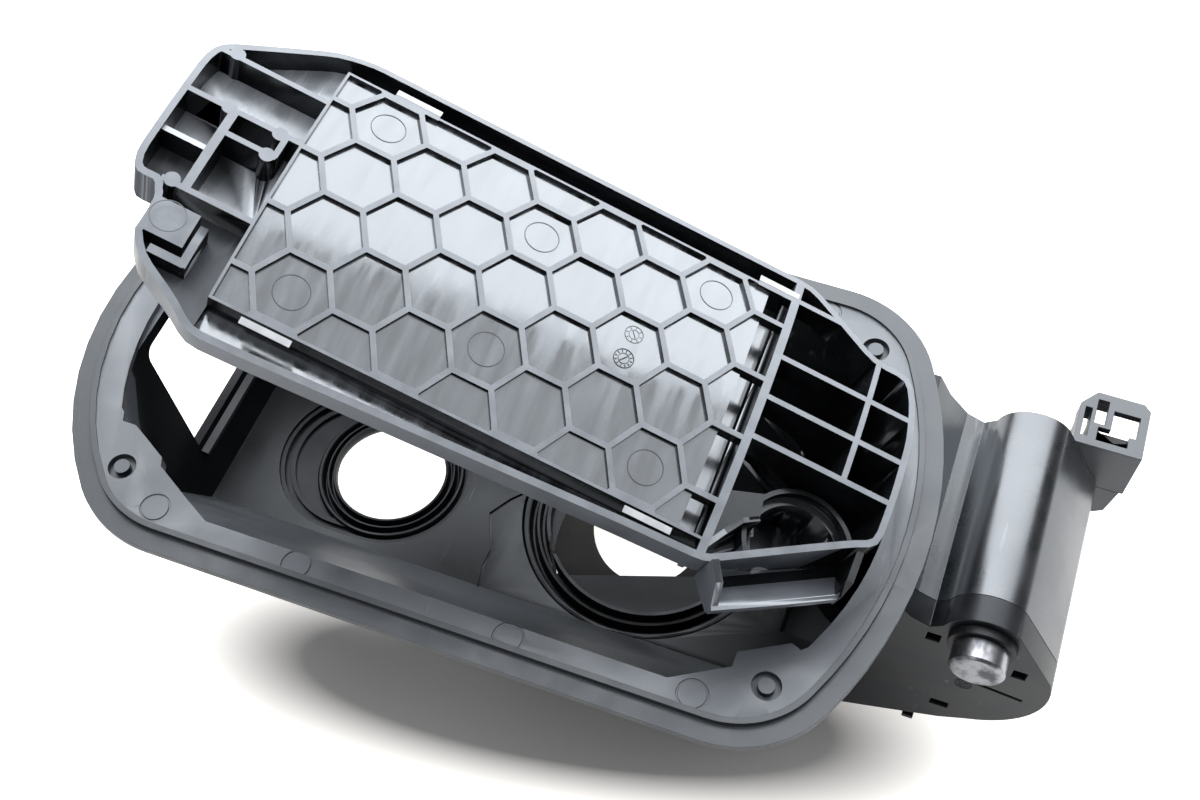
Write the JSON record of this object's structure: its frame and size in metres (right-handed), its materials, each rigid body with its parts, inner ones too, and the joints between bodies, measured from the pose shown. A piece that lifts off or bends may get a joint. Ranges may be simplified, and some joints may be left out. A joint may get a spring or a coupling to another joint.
{
  "type": "fuel filler pocket with hinged door carrier",
  "caption": "Moulded fuel filler pocket with a rim seal and rubber neck seals, and a honeycomb door carrier that swings up on a gooseneck hinge.",
  "frame": {"origin": "centre of the body panel's aperture, on the top face of the rim seal", "axes": "+X towards the hinge, +Y towards the actuator bracket, +Z out of the car, square to the seal face; the hinge axis runs along Y"},
  "size_m": [0.285, 0.1415, 0.1747],
  "materials": {
    "housing_plastic": "satin moulded, fine grain",
    "seal_rubber": "matt, slightly dusty",
    "neck_rubber": "matt",
    "cover_plastic": "satin",
    "pin_steel": "turned, bright with smears",
    "washer_plastic": "matt",
    "door_plastic": "semi-gloss floors, satin ribs",
    "bracket_plastic": "satin",
    "bush_plastic": "matt"
  },
  "bodies": {
    "pocket": {"pocket_housing": "housing_plastic", "rim_seal": "seal_rubber", "neck_seal_additive": "neck_rubber", "neck_seal_filler": "neck_rubber", "drum_end_cover": "cover_plastic", "hinge_pin": "pin_steel", "pin_washer": "washer_plastic", "pin_cap": "washer_plastic", "actuator_bracket": "bracket_plastic", "ratchet_clip": "washer_plastic", "cable_socket": "bracket_plastic", "hook_clip": "washer_plastic"},
    "door": {"door_carrier": "door_plastic", "hub_bush_near": "bush_plastic", "hub_bush_far": "bush_plastic"}
  },
  "joints": [
    {"name": "door_hinge", "type": "hinge", "parent": "pocket", "child": "door", "pos_m": [0.138, 0, -0.02], "axis": [0, 1, 0], "range_deg": [-18.7, 61.3]}
  ]
}
